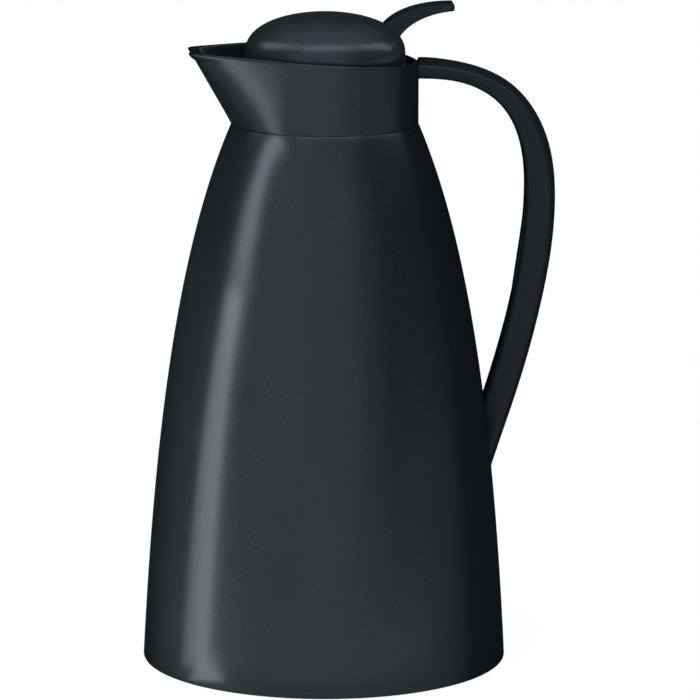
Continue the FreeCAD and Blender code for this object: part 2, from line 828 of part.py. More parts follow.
pieces = {
    "body_shell": body_shell,
    "spout_collar": spout_collar,
    "collar_seal": collar_seal,
    "handle": handle,
    "handle_cover": handle_cover,
    "handle_screws": handle_screws,
    "liner_outer_flask": liner_outer_flask,
    "liner_inner_flask": liner_inner_flask,
    "liner_spacers": liner_spacers,
    "mouth_gasket": mouth_gasket,
    "hinge_pin": hinge_pin,
    "lid_dome": lid_dome,
    "thumb_lever": thumb_lever,
    "lid_base": lid_base,
    "lid_insulation": lid_insulation,
    "lid_plug": lid_plug,
    "plug_seal": plug_seal,
    "lid_screws": lid_screws,
    "base_cap": base_cap,
    "base_seal": base_seal,
    "liner_cushion": liner_cushion,
}

os.makedirs("parts", exist_ok=True)
for name, make in pieces.items():
    shape = make()
    print(name, len(shape.Solids), round(shape.Volume), shape.isValid())
    shape.exportStep(f"parts/{name}.step")
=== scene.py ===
import json
from math import atan2, cos, hypot, pi, radians, sin, sqrt

import bmesh
import bpy
import numpy as np
from mathutils import Euler, Matrix, Vector

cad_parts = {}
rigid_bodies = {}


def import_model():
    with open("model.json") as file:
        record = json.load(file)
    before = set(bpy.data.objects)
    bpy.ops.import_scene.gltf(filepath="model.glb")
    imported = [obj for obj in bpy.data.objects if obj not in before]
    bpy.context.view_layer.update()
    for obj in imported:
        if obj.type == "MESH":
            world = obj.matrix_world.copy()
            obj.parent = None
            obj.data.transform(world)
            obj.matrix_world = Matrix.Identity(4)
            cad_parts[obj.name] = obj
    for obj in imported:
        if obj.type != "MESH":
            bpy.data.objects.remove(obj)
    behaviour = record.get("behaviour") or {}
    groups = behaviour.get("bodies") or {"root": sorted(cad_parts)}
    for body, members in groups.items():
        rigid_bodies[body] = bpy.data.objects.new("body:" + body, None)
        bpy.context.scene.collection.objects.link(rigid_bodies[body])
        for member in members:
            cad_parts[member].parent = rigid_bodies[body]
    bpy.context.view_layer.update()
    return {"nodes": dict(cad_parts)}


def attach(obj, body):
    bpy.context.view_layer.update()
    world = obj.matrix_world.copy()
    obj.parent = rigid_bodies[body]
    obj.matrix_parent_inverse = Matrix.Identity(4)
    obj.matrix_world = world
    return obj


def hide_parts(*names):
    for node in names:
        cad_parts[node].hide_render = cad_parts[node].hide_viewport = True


# A thermal jug in satin black plastic: tapered casing, spouted collar, domed lid with a thumb lever,
# bowed handle. Sizes are in millimetres and become metres when a mesh is made.

for leftover in list(bpy.data.objects):
    bpy.data.objects.remove(leftover)
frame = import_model()
NODES = frame["nodes"]
MM = 0.001


# Shader and geometry node maths

class Sock:
    """One output of a node. Arithmetic on it adds Math nodes to its tree."""

    def __init__(self, net, socket):
        self.net = net
        self.socket = socket

    def math(self, operation, *others):
        inputs = {i: v for i, v in enumerate((self,) + others)}
        return self.net.node("ShaderNodeMath", {"operation": operation}, inputs)

    def __add__(self, other):
        return self.math("ADD", other)

    __radd__ = __add__

    def __mul__(self, other):
        return self.math("MULTIPLY", other)

    def __sub__(self, other):
        return self.math("SUBTRACT", other)

    def __rsub__(self, other):
        return (self * -1) + other

    def __truediv__(self, other):
        return self.math("DIVIDE", other)

    def steps(self, low, high, to_low=0.0, to_high=1.0):
        """A soft step from to_low to to_high while this value goes from low to high."""
        return self.net.node("ShaderNodeMapRange", {"interpolation_type": "SMOOTHSTEP"},
                             {0: self, 1: low, 2: high, 3: to_low, 4: to_high})

    def blend(self, first, second):
        """Colour between first and second, by this value."""
        return self.net.node("ShaderNodeMix", {"data_type": "RGBA"}, {0: self, 6: first, 7: second}, 2)

    def part(self, name):
        """Another output of the same node."""
        return Sock(self.net, self.socket.node.outputs[name])


class Net:
    """Adds nodes to one tree."""

    def __init__(self, tree):
        self.tree = tree

    def node(self, kind, settings=None, inputs=None, out=0):
        made = self.tree.nodes.new(kind)
        for key, value in (settings or {}).items():
            setattr(made, key, value)
        for key, value in (inputs or {}).items():
            if isinstance(value, Sock):
                self.tree.links.new(value.socket, made.inputs[key])
            else:
                made.inputs[key].default_value = value
        return Sock(self, made.outputs[out])


# Finishes

def new_finish(name):
    material = bpy.data.materials.new(name)
    material.use_nodes = True
    material.node_tree.nodes.clear()
    return material, Net(material.node_tree)


def noise(net, where, scale, detail=2.0, rough=0.5):
    return net.node("ShaderNodeTexNoise", {}, {"Vector": where, "Scale": scale, "Detail": detail,
                                               "Roughness": rough})


def close(net, shader):
    """Ends a finish with its shader."""
    result = net.tree.nodes.new("ShaderNodeOutputMaterial")
    net.tree.links.new(shader.socket, result.inputs["Surface"])


def bumped(net, height, distance, strength):
    return net.node("ShaderNodeBump", {}, {"Height": height, "Distance": distance, "Strength": strength})


def satin_plastic(name, dark, light, rough, gloss, grain=0.08, fade=(0.13, 0.48)):
    """Moulded plastic with a fine spark-eroded grain, whose gloss dies away at a glancing look."""
    material, net = new_finish(name)
    where = net.node("ShaderNodeTexCoord", {}, {}, "Object")
    clouds = noise(net, where, 26.0, 3.0)
    flecks = noise(net, where, 850.0, 2.0)
    pits = noise(net, where, 3600.0, 2.0, 0.6)
    colour = (clouds * 0.55 + flecks * 0.45).steps(0.3, 0.7).blend(dark, light)
    roughness = rough + (clouds - 0.5) * 0.05 + (flecks - 0.5) * 0.05
    relief = bumped(net, pits + flecks * 0.6, 0.00003, grain)
    shiny = net.node("ShaderNodeBsdfPrincipled", {}, {
        "Base Color": colour, "Roughness": roughness, "IOR": 1.5, "Specular IOR Level": gloss,
        "Specular Tint": (0.81, 0.895, 1.0, 1.0), "Normal": relief})
    dull = net.node("ShaderNodeBsdfPrincipled", {}, {
        "Base Color": colour, "Roughness": 0.8, "Specular IOR Level": 0.0, "Normal": relief})
    facing = net.node("ShaderNodeLayerWeight", {}, {"Blend": 0.5}, "Facing")
    mixed = net.node("ShaderNodeMixShader", {}, {0: facing.steps(*fade), 1: shiny, 2: dull})
    close(net, mixed)
    return material


def silvered_glass():
    """Blown glass with a silver coat: bright, and a little wavy."""
    material, net = new_finish("silvered_glass")
    where = net.node("ShaderNodeTexCoord", {}, {}, "Object")
    waves = noise(net, where, 38.0, 2.0)
    haze = noise(net, where, 240.0, 4.0)
    colour = haze.steps(0.35, 0.7).blend((0.80, 0.82, 0.83, 1), (0.90, 0.91, 0.92, 1))
    shader = net.node("ShaderNodeBsdfPrincipled", {}, {
        "Base Color": colour, "Metallic": 1.0, "Roughness": 0.05 + haze * 0.09,
        "Normal": bumped(net, waves, 0.0006, 0.35)})
    close(net, shader)
    return material


def silicone():
    """Soft pale grey moulding with a dusty bloom."""
    material, net = new_finish("soft_silicone")
    where = net.node("ShaderNodeTexCoord", {}, {}, "Object")
    bloom = noise(net, where, 90.0, 4.0)
    dust = noise(net, where, 1500.0, 2.0)
    colour = (bloom * 0.7 + dust * 0.3).steps(0.3, 0.7).blend((0.40, 0.41, 0.42, 1), (0.52, 0.53, 0.54, 1))
    shader = net.node("ShaderNodeBsdfPrincipled", {}, {
        "Base Color": colour, "Roughness": 0.52 + bloom * 0.16, "Specular IOR Level": 0.35,
        "Subsurface Weight": 0.12, "Subsurface Scale": 0.004,
        "Normal": bumped(net, dust, 0.00004, 0.25)})
    close(net, shader)
    return material


def bright_steel():
    """Drawn steel wire and turned screws: fine scratches round and along."""
    material, net = new_finish("bright_steel")
    where = net.node("ShaderNodeTexCoord", {}, {}, "Object")
    drawn = net.node("ShaderNodeMapping", {}, {"Vector": where, "Scale": (1.0, 0.08, 1.0)})
    lines = noise(net, drawn, 2600.0, 3.0, 0.7)
    tarnish = noise(net, where, 160.0, 3.0)
    colour = tarnish.steps(0.35, 0.75).blend((0.62, 0.62, 0.63, 1), (0.48, 0.475, 0.47, 1))
    shader = net.node("ShaderNodeBsdfPrincipled", {}, {
        "Base Color": colour, "Metallic": 1.0, "Roughness": 0.24 + lines * 0.16,
        "Normal": bumped(net, lines, 0.00002, 0.3)})
    close(net, shader)
    return material


def lid_foam():
    """White rigid foam: packed cells with darker seams between the beads."""
    material, net = new_finish("lid_foam")
    where = net.node("ShaderNodeTexCoord", {}, {}, "Object")
    beads = {"Vector": where, "Scale": 420.0}
    cells = net.node("ShaderNodeTexVoronoi", {"feature": "DISTANCE_TO_EDGE"}, beads)
    tone = net.node("ShaderNodeTexVoronoi", {}, beads, "Distance")
    seam = cells.steps(0.0, 0.12)
    colour = (seam * 0.8 + tone * 0.2).blend((0.62, 0.61, 0.57, 1), (0.88, 0.87, 0.82, 1))
    shader = net.node("ShaderNodeBsdfPrincipled", {}, {
        "Base Color": colour, "Roughness": 0.9 - seam * 0.12, "Specular IOR Level": 0.2,
        "Normal": bumped(net, seam, 0.0002, 0.5)})
    close(net, shader)
    return material


def pressed_felt():
    """Small pale pads of matted fibre."""
    material, net = new_finish("pressed_felt")
    where = net.node("ShaderNodeTexCoord", {}, {}, "Object")
    strands = net.node("ShaderNodeMapping", {}, {"Vector": where, "Scale": (1.0, 0.25, 0.6)})
    fibres = noise(net, strands, 2200.0, 6.0, 0.75)
    tufts = noise(net, where, 480.0, 3.0)
    colour = (fibres * 0.6 + tufts * 0.4).steps(0.3, 0.7).blend((0.48, 0.46, 0.42, 1), (0.76, 0.74, 0.70, 1))
    shader = net.node("ShaderNodeBsdfPrincipled", {}, {
        "Base Color": colour, "Roughness": 0.95, "Specular IOR Level": 0.1, "Sheen Weight": 0.3,
        "Normal": bumped(net, fibres, 0.0002, 0.7)})
    close(net, shader)
    return material


SATIN = satin_plastic("satin_black", (0.0044, 0.0053, 0.0061, 1), (0.0055, 0.0067, 0.0077, 1),
                      rough=0.26, gloss=0.23)
# Painted light: the lid's black is about twice as light as the casing's, standing in for the light that falls
# on the dome's top.
LID_PAINTED_LIGHTER = satin_plastic("lid_black_painted_lighter", (0.0088, 0.0107, 0.0124, 1), (0.0108, 0.0132, 0.0152, 1),
                    rough=0.29, gloss=0.195, fade=(0.25, 0.70))
DEEP = satin_plastic("deep_black", (0.0050, 0.0060, 0.0072, 1), (0.0064, 0.0077, 0.0092, 1),
                     rough=0.33, gloss=0.085)
PLAIN = satin_plastic("plain_black", (0.0115, 0.0125, 0.0140, 1), (0.0175, 0.0185, 0.0200, 1),
                      rough=0.46, gloss=0.15, grain=0.3)
GLASS = silvered_glass()
SOFT = silicone()
STEEL = bright_steel()
FOAM = lid_foam()
FELT = pressed_felt()


# Meshes

def piece(name, mesh, body, slot, *stands_for):
    """Names a finished mesh, hangs it on its body and hides the plain solid that it stands for."""
    thing = bpy.data.objects.new(name, mesh)
    bpy.context.scene.collection.objects.link(thing)
    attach(thing, body)
    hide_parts(*stands_for)


def settle(mesh, finish, crease=32.0):
    """Outward faces, smooth shading with real edges kept, and one finish."""
    shape = bmesh.new()
    shape.from_mesh(mesh)
    bmesh.ops.remove_doubles(shape, verts=shape.verts, dist=1e-6)
    bmesh.ops.recalc_face_normals(shape, faces=shape.faces)
    for face in shape.faces:
        face.smooth = True
    shape.to_mesh(mesh)
    shape.free()
    mesh.set_sharp_from_angle(angle=radians(crease))
    mesh.materials.clear()
    mesh.materials.append(finish)
    return mesh


def skin(name, rings, finish, closed=False, crease=32.0):
    """A mesh over rings of equally many points. A closed one joins its last ring to its first,
    and an open one has a cap at each end."""
    count = len(rings[0])
    points = [tuple(c * MM for c in p) for ring in rings for p in ring]
    faces = []
    spans = len(rings) if closed else len(rings) - 1
    for i in range(spans):
        a = i * count
        b = ((i + 1) % len(rings)) * count
        for j in range(count):
            k = (j + 1) % count
            faces.append((a + j, a + k, b + k, b + j))
    if not closed:
        faces.append(tuple(range(count)))
        faces.append(tuple(range((len(rings) - 1) * count, len(rings) * count)))
    mesh = bpy.data.meshes.new(name)
    mesh.from_pydata(points, [], faces)
    return settle(mesh, finish, crease)


def node_tree(name, sockets):
    """An empty geometry tree with the named inputs, and its identifiers for a modifier."""
    tree = bpy.data.node_groups.new(name, "GeometryNodeTree")
    names = {}
    for label, kind in sockets:
        made = tree.interface.new_socket(label, in_out="INPUT", socket_type="NodeSocket" + kind)
        names[label] = made.identifier
    tree.interface.new_socket("Piece", in_out="OUTPUT", socket_type="NodeSocketGeometry")
    net = Net(tree)
    given = tree.nodes.new("NodeGroupInput")
    inputs = {label: Sock(net, given.outputs[label]) for label, _ in sockets}
    return tree, net, names, inputs


def hand_out(net, geometry, finish):
    """Ends a geometry tree with real meshes in one finish."""
    real = net.node("GeometryNodeRealizeInstances", {}, {"Geometry": geometry})
    painted = net.node("GeometryNodeSetMaterial", {}, {"Geometry": real, "Material": finish})
    result = net.tree.nodes.new("NodeGroupOutput")
    net.tree.links.new(painted.socket, result.inputs[0])


def swept_grid(net, profile, turns):
    """The profile's points carried round +Z on a grid: its mesh, and each point's radius, height, angle."""
    count = net.node("GeometryNodeAttributeDomainSize", {"component": "MESH"}, {"Geometry": profile},
                     "Point Count")
    around = turns + 1
    grid = net.node("GeometryNodeMeshGrid", {}, {"Size X": 1.0, "Size Y": 1.0, "Vertices X": count,
                                                 "Vertices Y": around})
    index = net.node("GeometryNodeInputIndex")
    row = ((index + 0.5) / around).math("FLOOR")
    angle = (index - row * around) / turns * (2 * pi)
    place = net.node("GeometryNodeInputPosition")
    sampled = net.node("GeometryNodeSampleIndex", {"data_type": "FLOAT_VECTOR"},
                       {"Geometry": profile, "Value": place, "Index": row})
    radius = net.node("ShaderNodeSeparateXYZ", {}, {0: sampled})
    return grid, radius, radius.part("Z"), angle


def placed(net, grid, radius, height, angle):
    spot = net.node("ShaderNodeCombineXYZ", {}, {0: radius * angle.math("COSINE"),
                                                 1: radius * angle.math("SINE"), 2: height})
    moved = net.node("GeometryNodeSetPosition", {}, {"Geometry": grid, "Position": spot})
    return net.node("GeometryNodeMergeByDistance", {}, {"Geometry": moved, "Distance": 1e-6})


def turned_tree():
    """Turns a profile round the jug's axis, as a lathe does."""
    tree, net, names, given = node_tree("turned_piece", [
        ("Profile", "Geometry"), ("Steps Round", "Int"), ("Finish", "Material")])
    grid, radius, height, angle = swept_grid(net, given["Profile"], given["Steps Round"])
    hand_out(net, placed(net, grid, radius, height, angle), given["Finish"])
    return tree, names


# Steps round a screw, and the radius under which its point carries no thread
SCREW_STEPS = 40
THREAD_LEAST = 0.6


def screw_tree():
    """Puts a screw with a cross recess and a helical thread at each given point."""
    tree, net, names, given = node_tree("screws", [
        ("Places", "Geometry"), ("Thread Pitch", "Float"), ("Thread Depth", "Float"),
        ("Thread Start", "Float"), ("Recess Width", "Float"), ("Recess Length", "Float"),
        ("Recess Depth", "Float"), ("Turn", "Rotation"), ("Finish", "Material"), ("Screw", "Object")])
    outline = net.node("GeometryNodeObjectInfo", {}, {"Object": given["Screw"]}, "Geometry")
    turns = net.node("FunctionNodeInputInt", {"integer": SCREW_STEPS}, {})
    grid, radius, height, angle = swept_grid(net, outline, turns)
    lead = (height / given["Thread Pitch"] - angle / (2 * pi)).math("FRACT")
    ridge = ((lead - 0.5).math("ABSOLUTE") * 2 - 1) * given["Thread Depth"]
    on_shank = height.math("GREATER_THAN", given["Thread Start"])
    off_point = radius.math("GREATER_THAN", THREAD_LEAST * MM)
    body = placed(net, grid, radius + ridge * on_shank * off_point, height, angle)
    slots = []
    length = given["Recess Length"]
    width = given["Recess Width"]
    for x, y in ((length, width), (width, length)):
        shape = net.node("ShaderNodeCombineXYZ", {}, {0: x, 1: y, 2: given["Recess Depth"] * 2})
        slots.append(net.node("GeometryNodeMeshCube", {}, {"Size": shape}))
    drilled = net.node("GeometryNodeMeshBoolean", {"operation": "DIFFERENCE", "solver": "EXACT"}, {0: body})
    for slot in slots:
        net.tree.links.new(slot.socket, drilled.socket.node.inputs[1])
    stood = net.node("GeometryNodeInstanceOnPoints", {}, {
        "Points": given["Places"], "Instance": drilled, "Rotation": given["Turn"]})
    hand_out(net, stood, given["Finish"])
    return tree, names


def line_mesh(name, points):
    """A chain of edges through points."""
    mesh = bpy.data.meshes.new(name)
    scaled = [tuple(c * MM for c in p) for p in points]
    mesh.from_pydata(scaled, [(i, i + 1) for i in range(len(points) - 1)], [])
    return mesh


def from_tree(mesh, tree, names, settings):
    """Runs a geometry tree on a mesh and returns the plain mesh that it makes."""
    worker = bpy.data.objects.new("worker", mesh)
    bpy.context.scene.collection.objects.link(worker)
    rule = worker.modifiers.new("rule", "NODES")
    rule.node_group = tree
    for label, value in settings.items():
        rule[names[label]] = value
    seen = worker.evaluated_get(bpy.context.evaluated_depsgraph_get())
    made = bpy.data.meshes.new_from_object(seen)
    worker.modifiers.remove(rule)
    bpy.data.objects.remove(worker)
    return made


TURNED, TURNED_NAMES = turned_tree()


def turned(name, profile, finish, body, slot, *stands_for, steps=160, crease=32.0):
    """A piece turned from a profile of radius and height points."""
    line = line_mesh(name + "_profile", [(r, 0, z) for r, z in profile])
    mesh = from_tree(line, TURNED, TURNED_NAMES, {"Steps Round": steps, "Finish": finish})
    mesh.name = name
    piece(name, settle(mesh, finish, crease), body, slot, *stands_for)


def bezier(poles, count, start=0.0):
    """Points on the curve with these poles, from start, a share of the way along, to its end."""
    t = np.linspace(start, 1.0, count)[:, None]
    poles = [np.array(p, float) for p in poles]
    while len(poles) > 1:
        poles = [a + (b - a) * t for a, b in zip(poles, poles[1:])]
    return poles[0]


def eased(corners, radii, closed=True, steps=5):
    """A chain through corners with each one rounded, as radius and height points."""
    made = []
    count = len(corners)
    for i, corner in enumerate(corners):
        here = np.array(corner, float)
        radius = radii[i] if isinstance(radii, (list, tuple)) else radii
        if radius <= 0 or (not closed and i in (0, count - 1)):
            made.append(here)
            continue
        back = np.array(corners[i - 1], float) - here
        ahead = np.array(corners[(i + 1) % count], float) - here
        reach = min(radius, 0.45 * np.linalg.norm(back), 0.45 * np.linalg.norm(ahead))
        start = here + back / np.linalg.norm(back) * reach
        end = here + ahead / np.linalg.norm(ahead) * reach
        made.extend(bezier([start, here, end], steps))
    if closed:
        made.append(made[0])
    return [tuple(p) for p in made]


# Casing

FOOT_RADIUS = 72.9
NECK_RADIUS = 37.1
SEAM = 216.4
FOOT_LEAN = radians(3.0)
NECK_LEAN = radians(23.3)
FOOT_CARRY = 101.0
NECK_CARRY = 50.0
SHELL = 2.4
SEAM_EASE = 0.35
FOOT_EASE = 1.2
COVER_BORE = 68.7
LEDGE_RADIUS = 62.7
LEDGE_LOW = 9.0
LEDGE_TOP = 11.4


def wall_poles(inset):
    """Poles of the casing's side line, moved inwards by inset."""
    foot = (FOOT_RADIUS - inset, 0.0)
    neck = (NECK_RADIUS - inset, SEAM)
    return [foot, (foot[0] - sin(FOOT_LEAN) * FOOT_CARRY, cos(FOOT_LEAN) * FOOT_CARRY),
            (neck[0] + sin(NECK_LEAN) * NECK_CARRY, SEAM - cos(NECK_LEAN) * NECK_CARRY), neck]


def casing():
    outer = bezier(wall_poles(0), 120)
    inner = bezier(wall_poles(SHELL), 50)[::-1]
    foot_turn = eased([(COVER_BORE, 0.0), (FOOT_RADIUS, 0.0), tuple(outer[3])], [0, FOOT_EASE, 0],
                      closed=False, steps=7)
    mouth = eased([tuple(outer[-3]), (NECK_RADIUS, SEAM), (NECK_RADIUS - SHELL, SEAM), tuple(inner[3])],
                  [0, SEAM_EASE, SEAM_EASE, 0], closed=False)
    inside = [tuple(p) for p in inner if LEDGE_TOP + 1 < p[1] < SEAM - 1]
    ledge = eased([inside[-1], (COVER_BORE + 1, LEDGE_TOP), (LEDGE_RADIUS, LEDGE_TOP),
                   (LEDGE_RADIUS, LEDGE_LOW), (COVER_BORE, LEDGE_LOW), (COVER_BORE, 0.0)],
                  [0, 0.6, 0.3, 0.3, 0.4, 0.3], closed=False)
    profile = foot_turn[:-1] + [tuple(p) for p in outer[3:-3]] + mouth + inside[3:-1] + ledge
    profile.append(profile[0])
    turned("casing", profile, SATIN, "jug", "casing_plastic", "body_shell", steps=224)


# Collar with the spout: ruled from the round seam to the pointed plan of the rim

COLLAR_WALL = 2.2
PLAN_HEIGHT = 247.0
SPOUT_TURN = 60.3
SPOUT_RUN = 30.6
NOSE_REACH = 53.1
CORNER_REACH = 54.0
NOSE_HALF = 10.5
NOSE_CORNER = 3.0
NOSE_SHARE = 0.6
BEAD = 1.2
BEAD_HEIGHT = 243.0
BEAD_START = 38.0
BEAD_RUN = 10.0
BEAD_SWELL = ((3.4, 0.0), (2.9, 0.12), (2.5, 0.42), (2.1, 0.76), (1.65, 0.96), (1.2, 1.0))
WALL_START = 1.0
WALL_END = 3.8
WALL_STEPS = 16
INNER_STEPS = 12
FUNNEL_STEPS = 10
RIM_EASE = 0.8
INNER_EASE = 0.6
RIM = [(-53.1, 245.7), (-12.5, 244.9), (37.1, 241.0)]
PLAN_STEPS = (96, 26, 8, 12, 8, 26)
CORNER_TURN = 16.0
NOSE_TURN = 8.0
MOUTH_RADIUS = 21.5
MOUTH_HEIGHT = 212.0
FUNNEL_LOW = 210.4
# From the pouring mouth along the funnel's underside and round the skirt that snaps into the neck
UNDERSIDE = [(MOUTH_RADIUS + 0.25, MOUTH_HEIGHT + 0.25), (MOUTH_RADIUS, MOUTH_HEIGHT - 0.2),
             (MOUTH_RADIUS, FUNNEL_LOW + 0.2), (MOUTH_RADIUS + 0.2, FUNNEL_LOW), (23.6, FUNNEL_LOW),
             (32.2, 219.0), (32.2, 206.7), (32.5, 206.4), (34.1, 206.4), (34.4, 206.6), (35.6, 207.6),
             (34.4, 208.8), (34.4, SEAM)]


def circle_through(a, b, c):
    """Middle and radius of the circle through three points of a plane."""
    (ax, ay), (bx, by), (cx, cy) = a, b, c
    a_square = ax * ax + ay * ay
    b_square = bx * bx + by * by
    c_square = cx * cx + cy * cy
    scale = 2 * (ax * (by - cy) + bx * (cy - ay) + cx * (ay - by))
    x = (a_square * (by - cy) + b_square * (cy - ay) + c_square * (ay - by)) / scale
    y = (a_square * (cx - bx) + b_square * (ax - cx) + c_square * (bx - ax)) / scale
    return x, y, hypot(ax - x, ay - y)


RIM_CIRCLE = circle_through(*RIM)


def rim_height(x):
    """Height of the rim's arched edge at one place from the spout to the handle."""
    middle_x, middle_z, radius = RIM_CIRCLE
    return middle_z + sqrt(radius * radius - (x - middle_x) ** 2)


def around_plan():
    """Which stretch of the plan each line of the collar belongs to, and how far along it: the round
    back, then the far side, corner, nose, near corner and near side of the spout."""
    return [(i, j / n) for i, n in enumerate(PLAN_STEPS) for j in range(n)]


def seam_spot(stretch, share, radius):
    """Where one line of the collar leaves a circle of the given radius."""
    stops = (360 - SPOUT_TURN, SPOUT_TURN, CORNER_TURN, NOSE_TURN, -NOSE_TURN, -CORNER_TURN, -SPOUT_TURN)
    angle = radians(stops[stretch] + (stops[stretch + 1] - stops[stretch]) * share)
    return np.array((-radius * cos(angle), radius * sin(angle)))


def plan_spot(stretch, share, inset, bead):
    """Where one line of the collar meets the pointed plan, drawn in by inset and swollen by bead."""
    radius = NECK_RADIUS - inset
    drawn = inset - bead
    if stretch == 0:
        return seam_spot(0, share, radius)
    if stretch > 3:
        return plan_spot(6 - stretch, 1 - share, inset, bead) * (1, -1)
    turn = radians(SPOUT_TURN)
    half = NOSE_HALF - NOSE_SHARE * drawn
    corner = NOSE_CORNER - (1 - NOSE_SHARE) * drawn
    leave = np.array((-radius * cos(turn), radius * sin(turn)))
    lead = leave + np.array((-sin(turn), -cos(turn))) * SPOUT_RUN
    tip = np.array((-(CORNER_REACH - drawn), half))
    side_end = tip + (lead - tip) / np.linalg.norm(lead - tip) * corner
    nose = np.array((tip[0], half - corner))
    if stretch == 1:
        return bezier([leave, lead, side_end], 1, share)[0]
    if stretch == 2:
        return bezier([side_end, tip, nose], 1, share)[0]
    middle_x, _, sweep_radius = circle_through(tuple(nose), (-(NOSE_REACH - drawn), 0.0), (nose[0], -nose[1]))
    swing = atan2(nose[1], nose[0] - middle_x) * (1 - 2 * share)
    return np.array((middle_x + sweep_radius * cos(swing), sweep_radius * sin(swing)))


def wall_spot(line, height, inset, bead=0.0):
    """Point of the collar's ruled wall on one line at one height."""
    seam = seam_spot(*line, NECK_RADIUS - inset)
    plan = plan_spot(*line, inset, bead)
    share = (height - SEAM) / (PLAN_HEIGHT - SEAM)
    x, y = seam + (plan - seam) * share
    return np.array((x, y, height))


def wall_top(line, inset, bead=0.0):
    """Height at which one line of the wall reaches the rim."""
    height = rim_height(0.0)
    for _ in range(12):
        height = rim_height(wall_spot(line, height, inset, bead)[0])
    return height


def funnel_meet(line):
    """Height at which the inside of the collar runs into the pouring funnel."""
    low, high = SEAM, PLAN_HEIGHT
    for _ in range(40):
        middle = (low + high) / 2
        x, y = wall_spot(line, middle, COLLAR_WALL)[:2]
        if hypot(x, y) > MOUTH_RADIUS + middle - MOUTH_HEIGHT:
            low = middle
        else:
            high = middle
    return low


def collar_line(line):
    """One upright section of the collar, from its lower outer edge over the rim and down to the skirt."""
    x_rim = wall_spot(line, BEAD_HEIGHT, 0)[0]
    bead = BEAD * min(1.0, max(0.0, (-x_rim - BEAD_START) / BEAD_RUN)) ** 2
    top = wall_top(line, 0, bead)
    inner_top = wall_top(line, COLLAR_WALL)
    foot = wall_spot(line, SEAM, 0)
    inward = -foot * (1 / hypot(foot[0], foot[1]))
    inward[2] = 0
    spots = [foot + inward * SEAM_EASE, foot + inward * SEAM_EASE * 0.3 + (0, 0, SEAM_EASE * 0.25),
             wall_spot(line, SEAM + SEAM_EASE, 0)]
    rise = (top - WALL_END - SEAM - WALL_START) / WALL_STEPS
    spots += [wall_spot(line, SEAM + WALL_START + rise * i, 0) for i in range(WALL_STEPS + 1)]
    spots += [wall_spot(line, top - drop, 0, bead * share) for drop, share in BEAD_SWELL]
    outer_edge = wall_spot(line, top, 0, bead)
    inner_edge = wall_spot(line, inner_top, COLLAR_WALL)
    across = inner_edge - outer_edge
    ease = RIM_EASE / np.linalg.norm(across)
    spots += list(bezier([spots[-1], outer_edge, outer_edge + across * ease], 6))[1:]
    spots.append(outer_edge + across * 0.5)
    below = wall_spot(line, inner_top - INNER_EASE, COLLAR_WALL)
    spots += list(bezier([inner_edge - across * ease, inner_edge, below], 6))
    meet = funnel_meet(line)
    fall = (meet + 0.5 - inner_top + INNER_EASE) / INNER_STEPS
    spots += [wall_spot(line, inner_top - INNER_EASE + fall * i, COLLAR_WALL)
              for i in range(1, INNER_STEPS + 1)]
    low = wall_spot(line, meet, COLLAR_WALL)
    reach = hypot(low[0], low[1])
    way = np.array((low[0], low[1], 0.0)) / reach

    def ringed(radius, height):
        return way * radius + np.array((0, 0, height))

    step = (reach - MOUTH_RADIUS - 0.4) / FUNNEL_STEPS
    spots += [ringed(MOUTH_RADIUS + step * i, MOUTH_HEIGHT + step * i) for i in range(FUNNEL_STEPS, 0, -1)]
    spots += [ringed(r, z) for r, z in UNDERSIDE]
    return spots


def collar():
    lines = [collar_line(line) for line in around_plan()]
    rings = [[lines[j][i] for j in range(len(lines))] for i in range(len(lines[0]))]
    mesh = skin("collar", rings, SATIN, closed=True, crease=38.0)
    piece("collar", mesh, "jug", "casing_plastic", "spout_collar")


# Hinge

PIN_X = 30.2
PIN_Z = 238.8
EAR_RADIUS = 2.4
EAR_BACK = 33.6
EAR_WIDTH = 3.4
EAR_GAP = 10.2
EAR_EASE = 0.3


def slab(name, outline, low, high, finish, ease):
    """A plate with the given side outline between two widths, its edges eased."""
    mesh = skin(name, [[(x, low, z) for x, z in outline], [(x, high, z) for x, z in outline]], finish)
    worker = bpy.data.objects.new("worker", mesh)
    bpy.context.scene.collection.objects.link(worker)
    bevel = worker.modifiers.new("ease", "BEVEL")
    bevel.width = ease * MM
    bevel.segments = 4
    bevel.limit_method = "ANGLE"
    bevel.angle_limit = radians(40)
    seen = worker.evaluated_get(bpy.context.evaluated_depsgraph_get())
    made = bpy.data.meshes.new_from_object(seen)
    worker.modifiers.remove(bevel)
    bpy.data.objects.remove(worker)
    return settle(made, finish)


def hinge_ears():
    turns = np.linspace(pi / 2, 3 * pi / 2, 24)
    outline = [(PIN_X + EAR_RADIUS * cos(a), PIN_Z + EAR_RADIUS * sin(a)) for a in turns]
    outline += [(EAR_BACK, PIN_Z - EAR_RADIUS), (EAR_BACK, PIN_Z + 1.2), (EAR_BACK - 0.6, PIN_Z + 2.2)]
    for side, low in (("near", -EAR_GAP - EAR_WIDTH), ("far", EAR_GAP)):
        mesh = slab("hinge_ear_" + side, outline, low, low + EAR_WIDTH, SATIN, EAR_EASE)
        piece("hinge_ear_" + side, mesh, "jug", "casing_plastic", "spout_collar")


# Dome of the lid

DOME_OUTER = [(31.2, 240.0), (36.4, 258.6), (7.5, 260.5), (0, 260.5)]
DOME_INNER = [(0, 258.3), (7.0, 258.3), (33.4, 256.2), (29.0, 240.0)]
DOME_EASE = 0.4


def dome():
    outer = bezier(DOME_OUTER, 60)
    inner = bezier(DOME_INNER, 40)
    edge = eased([tuple(inner[-2]), DOME_INNER[-1], DOME_OUTER[0], tuple(outer[2])],
                 [0, DOME_EASE, DOME_EASE, 0], closed=False)
    profile = [tuple(p) for p in inner[:-1]] + edge[1:-1] + [tuple(p) for p in outer[2:]]
    # The dome's finish is painted lighter than the casing's, as painted light on its top.
    turned("dome", profile, LID_PAINTED_LIGHTER, "lid", "casing_plastic", "lid_dome", steps=176)


# Thumb lever: a bowed tongue with eased edges, rising out of the dome

